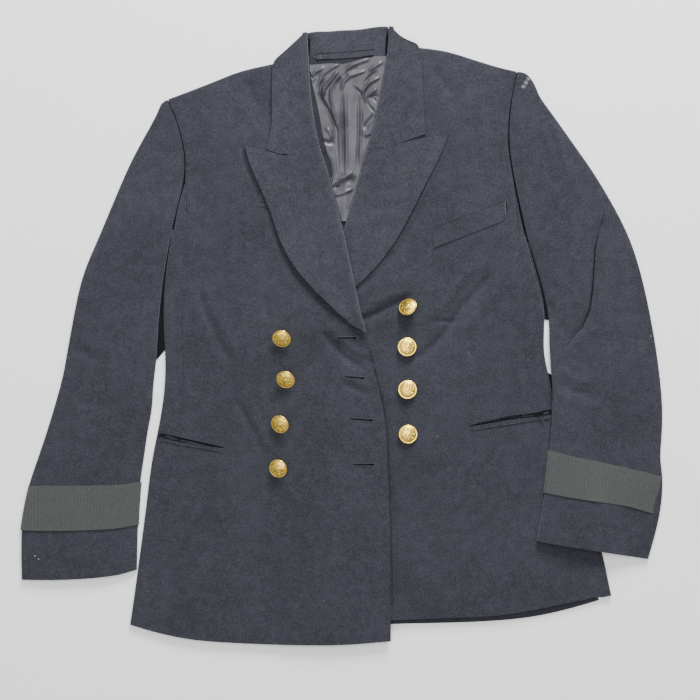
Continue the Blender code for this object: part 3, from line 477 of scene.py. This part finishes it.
# Seam allowances
# The cloth that is turned under at the armholes, under the arms and at the collar's turn.
# It lies deep inside the seam; its near-black colour is painted deep shade, so it is seen only as a dark
# line.
# Painted deep shade: a near-black copy of the wool for the seam strips, pocket mouths, hanger, welt end and
# elbow fold.
painted_deep_shade, shader, at = finish("navy wool, painted deep shade", 0.95, Base_Color=(0.006, 0.006, 0.008, 1.0),
                            Specular_IOR_Level=0.1)


def strip(name, stuff, slot, left, right, top, wall, steps=24):
    """A strip of cloth between two edges drawn through places, level at a height in millimetres."""
    shape = bmesh.new()
    bmesh.ops.create_grid(shape, x_segments=2, y_segments=steps, size=0.5)
    for vert in shape.verts:
        share = vert.co.y + 0.5
        a, b = (spot(*sum((Vector(p) * w for p, w in stations(path, share)), Vector((0, 0))))
                for path in (left, right))
        place = a.lerp(b, vert.co.x + 0.5)
        vert.co = (place.x, place.y, top)
    shape.normal_update()
    if sum(face.normal.z for face in shape.faces) < 0:
        bmesh.ops.reverse_faces(shape, faces=shape.faces[:])
    area = sum(face.calc_area() for face in shape.faces) / 1e6
    bmesh.ops.solidify(shape, geom=shape.faces[:], thickness=wall)
    bmesh.ops.recalc_face_normals(shape, faces=shape.faces[:])
    bmesh.ops.scale(shape, vec=(0.001, 0.001, 0.001), verts=shape.verts[:])
    mesh = bpy.data.meshes.new(name)
    shape.to_mesh(mesh)
    shape.free()
    mesh.materials.append(stuff)
    piece = bpy.data.objects.new(name, mesh)
    bpy.context.scene.collection.objects.link(piece)
    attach(piece, "root")
    return piece, area


def stations(path, share):
    """The two places of a path on each side of a share of its length, with their weights."""
    reach = share * (len(path) - 1)
    i = min(int(reach), len(path) - 2)
    return (path[i], i + 1 - reach), (path[i + 1], reach - i)


ARMHOLE_RIGHT = [(168.7, 100.6), (173, 115), (179, 131), (183.6, 151), (185.9, 168), (184.4, 181),
                 (180.4, 196), (177, 208), (173.6, 222), (171.6, 229)]
ARMHOLE_LEFT = [(517.2, 72.4), (512.5, 84), (510, 98), (508.8, 115), (508.3, 139), (511, 159), (515.2, 173),
                (519, 205), (523, 222), (526.5, 236)]
# The armhole's and the underarm's strips: their flat width, and the mean width that shows
STRIP_WIDTH, STRIP_MEAN = 0.010, 0.008
for hand, path in (("right", ARMHOLE_RIGHT), ("left", ARMHOLE_LEFT)):
    # the strip is narrow at the shoulder and widens over the first few stations
    edges = [[(x + side * min(3.5, 1.0 + k), y) for k, (x, y) in enumerate(path)] for side in (-1, 1)]
    piece, area = strip("armhole_seam_" + hand, painted_deep_shade, "wool", *edges, 2.6, 0.6)
    area / STRIP_MEAN
for name, left, right in (
        ("underarm_right", [(170, 227), (168.5, 243), (165, 256), (162.5, 266), (161.5, 280), (160, 292),
                            (157.5, 316), (156, 338), (155.2, 361)],
         [(173.5, 227), (172, 243), (168.5, 256), (166.5, 266), (165.5, 280), (165, 292), (164.8, 316),
          (166, 338), (166.3, 348)]),
        ("underarm_left", [(523.5, 234), (526.5, 246), (530, 261), (534.5, 277), (538.5, 290), (541.5, 304),
                           (543, 319)],
         [(529, 234), (532.5, 246), (536, 261), (540.5, 277), (545, 290), (549.5, 304), (552.5, 321)]),
        ("elbow_left", [(547, 372), (548, 386), (549, 404)], [(554, 376), (556, 390), (556, 404)])):
    piece, area = strip(name, painted_deep_shade, "wool", left, right, 1.7, 1.2)
    area / STRIP_MEAN
for hand, left, right in (("right", [(304, 33.6), (304, 66)], [(312.5, 31.4), (313.5, 66)]),
                          ("left", [(385, 27), (383, 62)], [(391.8, 29), (393, 62)])):
    piece, area = strip("collar_turn_" + hand, painted_deep_shade, "wool", left, right, 2.6, 0.6)
    area / 0.010


# Cuff braid
# One flat band of black mohair braid, woven with fine upright ribs, is sewn round each cuff.
# It follows the sleeve's folds, and its ends meet under the sleeve.
def ribbed(name, dark, pale):
    stuff, shader, at = finish(name, 0.75, Sheen_Weight=0.25, Sheen_Roughness=0.4)
    ribs = at.node("ShaderNodeTexWave", {"bands_direction": "X"},
                   {"Vector": at, "Scale": 190.0, "Distortion": 0.6, "Detail": 1.0})
    grain = at.node("ShaderNodeTexNoise", {}, {"Vector": at, "Scale": 600.0, "Detail": 2.0})
    colour = mixed(dark, pale, ribs * 0.55 + grain.rise(0.3, 0.7) * 0.45)
    bump = at.node("ShaderNodeBump", {}, {"Height": ribs + grain * 0.5, "Strength": 0.5,
                                          "Distance": 0.0006})
    stuff.node_tree.links.new(colour.link, shader.inputs["Base Color"])
    stuff.node_tree.links.new(bump.link, shader.inputs["Normal"])
    return stuff


braid_stuff = ribbed("black mohair braid", (0.020, 0.0235, 0.0235), (0.052, 0.059, 0.057))
cloth("braid_right", braid_stuff,
      SLEEVE_CREASES_RIGHT,
      pulled=[((25, 507), 200.0, (0.3, -5.2, 0.0)), ((139, 500), 200.0, (-0.9, -5.4, 0.0))])
cloth("braid_left", braid_stuff,
      SLEEVE_CREASES_LEFT,
      pulled=[((546, 465), 200.0, (-1.0, -8.3, 0.0)), ((662, 475), 200.0, (-1.0, -5.0, 0.0)),
              ((662, 507), 45.0, (-9.0, -3.0, 0.0))])

# Pockets and hanger
# A welt on the chest and two jets at each hip, of the body's own wool folded double.
# A loop of grey tape is tacked inside the collar to hang the jacket up.
cloth("breast_welt", body_wool, LEFT_CREASES,
      pulled=[((468, 224), 400.0, (0.0, 0.0, -0.6))])
for hand, creases in (("right", RIGHT_CREASES), ("left", LEFT_CREASES)):
    for which in ("upper", "lower"):
        cloth(f"pocket_{which}_{hand}", body_wool,
              creases, fineness=2,
              pulled=[((350, 420), 900.0, (0.0, 0.0, -0.9 if which == "lower" else -0.3))])
tape = wool("grey tape", (0.0135, 0.014, 0.0185), (0.043, 0.044, 0.056))
cloth("hanger_loop", tape)

# Buttons
# Domed gilt buttons with a raised rim, a low wreath of leaves and a plain boss, stamped in brass.
# They hang on thread shanks, so most of them lean.
gilt, shader, at = finish("gilt", 0.24, 1.0)
wear = at.node("ShaderNodeTexNoise", {}, {"Vector": at, "Scale": 300.0, "Detail": 4.0, "Roughness": 0.6})
colour = mixed((0.84, 0.49, 0.05), (1.0, 0.72, 0.155), wear.rise(0.34, 0.56))
gilt.node_tree.links.new(colour.link, shader.inputs["Base Color"])
gilt.node_tree.links.new((wear * 0.25 + 0.12).link, shader.inputs["Roughness"])
old, shader, at = finish("tarnished gilt", 0.40, 1.0)
pits = at.node("ShaderNodeTexNoise", {}, {"Vector": at, "Scale": 260.0, "Detail": 3.0})
colour = mixed((0.60, 0.355, 0.035), (1.0, 0.73, 0.145), pits.rise(0.35, 0.56))
bump = at.node("ShaderNodeBump", {}, {"Height": pits, "Strength": 0.4, "Distance": 0.0007})
old.node_tree.links.new(colour.link, shader.inputs["Base Color"])
old.node_tree.links.new(bump.link, shader.inputs["Normal"])

BUTTONS = {
    # name: x, y, z of the back, then the way it faces
    "button_right_1": ((-69.05, -3.10, 11.45), (-0.081, -0.263, 0.961)),
    "button_right_2": ((-64.45, -50.20, 11.97), (-0.114, -0.251, 0.961)),
    "button_right_3": ((-70.65, -101.50, 12.45), (-0.207, -0.172, 0.963)),
    "button_right_4": ((-72.85, -152.30, 12.12), (-0.173, -0.138, 0.975)),
    "button_left_1": ((75.85, 32.00, 9.43), (-0.104, 0.139, 0.985)),
    "button_left_2": ((74.65, -13.40, 8.82), (0.052, 0.052, 0.997)),
    "button_left_3": ((75.25, -62.30, 8.66), (-0.052, 0.035, 0.998)),
    "button_left_4": ((75.85, -113.50, 8.34), (0.035, -0.035, 0.999)),
}
# Radius and height of the button's outline, from the back's middle over the rim to the top
DOME = [(0.0, 0.0), (9.6, 0.0), (10.6, 0.7), (11.0, 1.4), (10.8, 2.1), (10.2, 2.5), (9.7, 2.35), (9.3, 2.2),
        (8.9, 2.5), (8.0, 3.0), (6.4, 3.7), (4.4, 4.25), (2.2, 4.6), (0.0, 4.7)]
# The tarnished field inside the rim, and the wreath: leaves, their place and their half sizes
FIELD, FIELD_LOW = 9.4, 2.0
LEAVES, WREATH, WREATH_TOP, LEAF = 9, 6.6, 3.5, (2.0, 0.8, 0.4)
# How much further than the solid each one leans, on its slack thread
LEAN = {"button_right_1": 2.1, "button_right_2": 1.9, "button_right_3": 2.0, "button_right_4": 2.0,
        "button_left_1": 4.2, "button_left_2": 1.0, "button_left_3": 1.0, "button_left_4": 1.0}


def bead(shape, place, lengths, turn, material):
    """A small raised drop: an ico sphere stretched, turned and set in place, in millimetres."""
    made = bmesh.ops.create_icosphere(shape, subdivisions=2, radius=1.0)
    bmesh.ops.scale(shape, vec=lengths, verts=made["verts"])
    bmesh.ops.rotate(shape, cent=(0, 0, 0), matrix=turn, verts=made["verts"])
    bmesh.ops.translate(shape, vec=place, verts=made["verts"])
    for face in {face for vert in made["verts"] for face in vert.link_faces}:
        face.material_index = material


for node, (place, facing) in BUTTONS.items():
    facing = Vector((facing[0] * LEAN[node], facing[1] * LEAN[node], facing[2])).normalized()
    place = Vector(place) + Vector((0, 0, 1.3)) * min(LEAN[node] - 1.0, 1.5)
    shape = bmesh.new()
    line = [shape.verts.new((r, 0.0, z)) for r, z in DOME]
    for a, b in zip(line, line[1:]):
        shape.edges.new((a, b))
    bmesh.ops.spin(shape, geom=shape.verts[:] + shape.edges[:], axis=(0, 0, 1), cent=(0, 0, 0),
                   steps=64, angle=2 * math.pi, use_merge=True)
    bmesh.ops.remove_doubles(shape, verts=shape.verts[:], dist=1e-4)
    bmesh.ops.recalc_face_normals(shape, faces=shape.faces[:])
    for face in shape.faces:
        middle = face.calc_center_median()
        face.material_index = 1 if middle.z > FIELD_LOW and middle.xy.length < FIELD else 0
    for k in range(LEAVES):
        angle = 2 * math.pi * k / LEAVES
        slope = Matrix.Rotation(angle + 0.9, 3, "Z") @ Matrix.Rotation(math.radians(8), 3, "Y")
        bead(shape, (WREATH * math.cos(angle), WREATH * math.sin(angle), WREATH_TOP), LEAF, slope, 0)
    bead(shape, (0, 0, 4.4), (3.0, 2.1, 0.6), Matrix.Rotation(0.6, 3, "Z"), 0)
    bmesh.ops.create_cone(shape, cap_ends=True, segments=20, radius1=2.2, radius2=2.2, depth=3.0,
                          matrix=Matrix.Translation((0, 0, -1.4)))
    tilt = Vector((0, 0, 1)).rotation_difference(facing).to_matrix()
    bmesh.ops.rotate(shape, cent=(0, 0, 0), matrix=tilt, verts=shape.verts[:])
    bmesh.ops.translate(shape, vec=place, verts=shape.verts[:])
    bmesh.ops.scale(shape, vec=(0.001, 0.001, 0.001), verts=shape.verts[:])
    mesh = bpy.data.meshes.new(node + "_gilt")
    shape.to_mesh(mesh)
    shape.free()
    mesh.materials.append(gilt)
    mesh.materials.append(old)
    mesh.shade_smooth()
    piece = bpy.data.objects.new(node + "_gilt", mesh)
    bpy.context.scene.collection.objects.link(piece)
    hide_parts(node)
    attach(piece, "root")

# Buttonholes
# Four cut holes on the right front, each with an eye, and a small closed one on each lapel.
# They are worked round by hand with silk twist.
silk, shader, at = finish("silk twist", 0.6, Base_Color=(0.055, 0.056, 0.066, 1.0))
# The slit's near-black colour is painted shade for the open gap of the buttonhole.
slit_shade, shader, at = finish("buttonhole slit, painted shade", 0.95, Base_Color=(0.002, 0.002, 0.003, 1.0), Specular_IOR_Level=0.1)


# One stitch's half sizes, and the heights of the stitches and of the slit of painted shade over the cloth
STITCH, STITCH_LIFT, SLIT_LIFT = (0.62, 0.34, 0.3), 0.32, 0.42


def surface(name):
    """What a plumb line meets on a finished cloth: millimetres in, height in millimetres out."""
    mesh = bpy.data.objects[name].data
    tree = BVHTree.FromPolygons([v.co for v in mesh.vertices], [p.vertices for p in mesh.polygons])

    def height(x, y):
        hit = tree.ray_cast(Vector((x / 1000, y / 1000, 0.1)), Vector((0, 0, -1)))
        return hit[0].z * 1000 if hit[0] else 5.0
    return height


def buttonhole(name, on, left, right, half_width, gape, eye):
    """Stitches round a slot, with an eye at its right end, and a slit of painted shade along it."""
    height = surface(on)
    a, b = spot(*left), spot(*right)
    along = (b - a).normalized()
    side = Vector((-along.y, along.x))
    length = (b - a).length
    shape = bmesh.new()
    rim = []
    steps = 20
    for k in range(steps):
        rim.append((length * k / steps, half_width, 90))
    for k in range(7):
        turn = math.pi / 2 - math.pi * k / 6
        reach = half_width * eye
        rim.append((length + reach * math.cos(turn) * 0.9, reach * math.sin(turn), math.degrees(turn)))
    for k in range(steps):
        rim.append((length * (1 - k / steps), -half_width, -90))
    for k in range(5):
        turn = -math.pi / 2 - math.pi * k / 4
        rim.append((half_width * math.cos(turn) * 0.6, half_width * math.sin(turn), math.degrees(turn)))
    heading = math.atan2(along.y, along.x)
    for x, y, turn in rim:
        place = a + along * x + side * y
        made = bmesh.ops.create_icosphere(shape, subdivisions=1, radius=1.0)
        bmesh.ops.scale(shape, vec=STITCH, verts=made["verts"])
        bmesh.ops.rotate(shape, cent=(0, 0, 0), verts=made["verts"],
                         matrix=Matrix.Rotation(heading + math.radians(turn), 3, "Z"))
        bmesh.ops.translate(shape, vec=(place.x, place.y, height(place.x, place.y) + STITCH_LIFT),
                            verts=made["verts"])
    slit = bmesh.ops.create_grid(shape, x_segments=16, y_segments=1, size=0.5)["verts"]
    for face in {face for vert in slit for face in vert.link_faces}:
        face.material_index = 1
    for vert in slit:
        u = -math.cos(math.pi * (vert.co.x + 0.5))
        bulge = math.sqrt(max(0.0, 1 - u * u)) * 0.55 + math.exp(-((u - 0.88) / 0.16) ** 2) + 0.05
        middle = a + along * (length * (0.5 + 0.5 * u))
        level = max(height(middle.x, middle.y + j) for j in (-0.8, 0, 0.8)) + SLIT_LIFT
        vert.co = (*(middle + side * gape * bulge * 2 * vert.co.y), level)
    bmesh.ops.scale(shape, vec=(0.001, 0.001, 0.001), verts=shape.verts[:])
    mesh = bpy.data.meshes.new(name)
    shape.to_mesh(mesh)
    shape.free()
    mesh.materials.append(silk)
    mesh.materials.append(slit_shade)
    piece = bpy.data.objects.new(name, mesh)
    bpy.context.scene.collection.objects.link(piece)
    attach(piece, "root")


for name, on, left, right, half_width, gape, eye in (
        ("buttonhole_1", "front_right_cloth", (337, 338.2), (356.3, 338), 1.5, 1.0, 1.5),
        ("buttonhole_2", "front_right_cloth", (344.6, 376.6), (364.3, 378.4), 1.5, 1.0, 1.5),
        ("buttonhole_3", "front_right_cloth", (349, 418.6), (372.3, 420.4), 1.5, 1.0, 1.5),
        ("buttonhole_4", "front_right_cloth", (352.7, 464.6), (374, 464.6), 1.5, 1.0, 1.5),
        ("buttonhole_lapel_right", "lapel_right_cloth", (271, 182.9), (288, 188.6), 1.1, 0.12, 1.0),
        ("buttonhole_lapel_left", "lapel_left_cloth", (398, 174), (415, 170.6), 1.1, 0.12, 1.0)):
    buttonhole(name, on, left, right, half_width, gape, eye)

# Pocket mouths, edges and felled seams
# Each hip pocket gapes; its dark inside is a strip of painted deep shade, and the gorge and side seams are
# felled flat.
# Where an edge lies on cloth below it, the cloth below carries painted shade: beside the front's edge,
# under the elbow's fold, round the loop and the welt and along the lining.
def ribbon(name, stuff, on, path, widths, lift):
    """A narrow strip along a path, which lies on one or two finished cloths."""
    heights = [surface(piece_name) for piece_name in on]
    shape = bmesh.new()
    bmesh.ops.create_grid(shape, x_segments=4, y_segments=80, size=0.5)
    for vert in shape.verts:
        over, share = 2 * vert.co.x, vert.co.y + 0.5
        here, behind, ahead = (
            spot(*sum((Vector(p) * w for p, w in stations(path, min(max(v, 0.0), 1.0))), Vector((0, 0))))
            for v in (share, share - 0.02, share + 0.02))
        side = Vector((behind.y - ahead.y, ahead.x - behind.x)).normalized()
        (w1, s1), (w2, s2) = stations(widths, share)
        half = side * (w1 * s1 + w2 * s2) / 2
        if name.startswith(("gorge", "side_seam")):
            # a felled seam bridges the gap between its two edges
            left, right = (max(height(*p) for height in heights) for p in (here - half, here + half))
            level = left + (right - left) * (over + 1) / 2
        else:
            level = max(height(*(here + half * over)) for height in heights)
        vert.co = (*(here + half * over), level + lift)
    shape.normal_update()
    if sum(face.normal.z for face in shape.faces) < 0:
        bmesh.ops.reverse_faces(shape, faces=shape.faces[:])
    bmesh.ops.scale(shape, vec=(0.001, 0.001, 0.001), verts=shape.verts[:])
    mesh = bpy.data.meshes.new(name)
    shape.to_mesh(mesh)
    shape.free()
    mesh.materials.append(stuff)
    mesh.shade_smooth()
    piece = bpy.data.objects.new(name, mesh)
    bpy.context.scene.collection.objects.link(piece)
    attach(piece, "root")


# Painted shade: a darker copy of the navy wool, laid in ribbons where the cloth lies in shade.
shaded = wool("navy wool, in shade", (0.007, 0.007, 0.010), (0.022, 0.023, 0.030))
RIGHT_POCKET, LEFT_POCKET = (
    [f"{name}_{hand}_cloth" for name in ("front", "pocket_upper", "pocket_lower", "side")]
    for hand in ("right", "left"))
HANGER = ["hanger_loop_cloth", "collar_back_cloth", "back_lining_cloth"]
WELT = ["front_left_cloth", "breast_welt_cloth"]
for name, stuff, on, path, widths, lift in (
        # Pocket mouths in painted deep shade, with folds of painted shade inside them.
        ("pocket_mouth_shade_right", painted_deep_shade, RIGHT_POCKET,
         [(158.8, 434.6), (167, 436.8), (180, 439.8), (202, 443.8), (213, 446), (223.5, 447.8)],
         [3.2, 4.8, 5.2, 3.0, 2.2, 0.6], 0.2),
        ("pocket_fold_shade_right_1", shaded, RIGHT_POCKET, [(165.5, 436.2), (171, 437.8), (177, 439.2)],
         [2.0, 3.4, 1.8], 0.5),
        ("pocket_fold_shade_right_2", shaded, RIGHT_POCKET, [(181, 440.4), (192, 442.8), (205, 445)],
         [1.6, 2.2, 0.8], 0.5),
        ("pocket_mouth_shade_left", painted_deep_shade, LEFT_POCKET,
         [(469.7, 425.9), (481, 423.4), (492.5, 421.1), (508.6, 417.8), (522, 416.3), (535.4, 414.8),
          (551, 411.9)], [0.4, 2.6, 2.8, 4.0, 4.4, 4.6, 6.2], 0.2),
        ("pocket_fold_shade_left_1", shaded, LEFT_POCKET,
         [(500, 419.4), (512, 417.4), (524, 416.2), (534, 415.2)], [0.6, 1.8, 2.0, 1.2], 0.35),
        ("pocket_fold_left_2", body_wool, LEFT_POCKET, [(543.5, 413.5), (546.5, 412.9), (549, 412.5)],
         [1.2, 2.4, 1.4], 0.35),
        # Painted shade round the hanger loop: dark lines above it, below it and at its end.
        ("hanger_shade_upper", painted_deep_shade, HANGER,
         [(317, 54.1), (332.5, 53.0), (348.6, 52.0), (362, 50.8), (374, 49.6)], [0.9, 0.9], 0.1),
        ("hanger_shade_lower", painted_deep_shade, HANGER,
         [(315.6, 60.0), (332.5, 59.2), (348.6, 58.3), (362, 57.0), (374, 55.4)], [1.1, 1.1], 0.1),
        ("hanger_end_shade", painted_deep_shade, HANGER, [(315.6, 54.4), (315.6, 59.8)], [0.8, 0.8], 0.1),
        ("hanger_bar", silk, HANGER, [(320.2, 54.4), (320.2, 59.0)], [0.7, 0.7], 0.15),
        # Painted shade on the lining below the loop and along its roll under the collar.
        ("lining_edge_shade", shaded, ["back_lining_cloth", "collar_back_cloth"],
         [(308, 59.5), (313, 60.5), (318, 61.2), (330, 60.8), (343, 61.4), (352, 59.8), (362, 57.6),
          (373, 56.2)],
         [12, 9.5, 6.4, 5.0, 5.6, 4.2, 2.6, 1.6], 0.25),
        ("lining_roll_shade", shaded, ["back_lining_cloth"],
         [(308.5, 72), (310.0, 82), (312.5, 95), (314.5, 110), (316.5, 125), (320, 140), (325, 156),
          (331, 175)],
         [6.0, 4.0, 5.6, 9.0, 10.4, 9.0, 7.0, 5.0], 0.2),
        # Painted shade along the welt's upper edge and at its end.
        ("welt_edge_shade", shaded, WELT,
         [(430.8, 227.8), (442.3, 225.0), (466.4, 215.6), (494.1, 204.8), (503, 201.4)],
         [0.5, 0.6, 0.6, 0.6, 0.5], 0.12),
        ("welt_end_shade", painted_deep_shade, WELT, [(506.2, 201.3), (506.9, 207.5), (507.3, 213.4)], [0.5, 1.0, 0.5], 0.15),
        ("welt_tack", silk, WELT, [(504.9, 201.6), (505.4, 207.5), (505.9, 214)], [0.7, 0.7], 0.15),
        ("side_seam_left", body_wool, ["front_left_cloth", "side_left_cloth"],
         [(517.4, 203), (519.2, 220.5), (524.2, 255), (526.3, 298.5), (526.0, 335), (527.2, 356.7),
          (529.7, 374.1), (537.1, 404.6)], [1.4, 2.2, 2.8, 2.8, 2.8, 2.8, 2.6, 2.4], 0.1),
        ("side_seam_right_upper", body_wool, ["front_right_cloth", "side_right_cloth"],
         [(188, 200), (186.9, 225), (185.8, 247), (183.9, 291.3), (182.9, 313.3), (182.8, 335),
          (183.2, 356.7), (183.8, 374.1), (182.6, 404.6), (178.6, 429)],
         [2.4, 2.8, 2.8, 2.8, 2.8, 2.8, 2.8, 2.8, 2.8, 2.4], 0.1),
        ("side_seam_right_lower", body_wool, ["front_right_cloth", "side_right_cloth"],
         [(175.2, 450), (166.3, 504.6), (160, 552.4), (154.1, 595.9), (150.4, 628)], [2.8, 2.8], 0.1),
        # Painted shade along the elbow's fold, darkest in its depth.
        ("elbow_fold_shade_left", shaded, ["sleeve_top_left_cloth"],
         [(604.7, 211.8), (598.2, 233.5), (594.9, 248.6), (593.8, 268.2), (592.3, 289.8), (589.5, 309.4),
          (581.9, 326.7), (566.7, 344)], [0.5, 1.8, 2.6, 2.4, 2.6, 2.6, 2.2, 0.5], 0.5),
        ("elbow_fold_deep_shade", painted_deep_shade, ["sleeve_top_left_cloth"],
         [(598.6, 233.5), (595.2, 248.6), (594.1, 268.2), (592.6, 289.8), (589.8, 309.4), (581.9, 326.7)],
         [0.3, 1.0, 1.1, 1.2, 1.2, 0.5], 0.9),
        ("front_edge_shade", shaded, ["front_left_cloth"],
         [(371, 350), (375.5, 372), (380.5, 391), (384.8, 410), (387.6, 436), (388.9, 460), (389.9, 490),
          (390.9, 520), (391.6, 550), (392, 580), (392.3, 610)],
         [1.0, 1.6, 2.0, 2.0, 2.0, 2.0, 2.0, 2.0, 2.0, 2.0, 1.4], 0.15),
        ("gorge_right", lapel_wool_painted_lighter, ["collar_right_cloth", "lapel_right_cloth"],
         [(287.5, 154.8), (292.5, 153.8), (300.1, 150.6), (307.7, 147.1), (314.2, 144.9), (317, 144.4)],
         [2.2, 2.4, 2.4, 2.4, 2.4, 2.2], 0.15),
        ("gorge_left", lapel_wool_painted_lighter, ["collar_left_cloth", "lapel_left_cloth"],
         [(369.5, 148.6), (375, 148.6), (383.6, 147.5), (395.6, 144.6), (404.5, 141.4)],
         [2.2, 2.4, 2.4, 2.4, 2.0], 0.15)):
    ribbon(name, stuff, on, path, widths, lift)
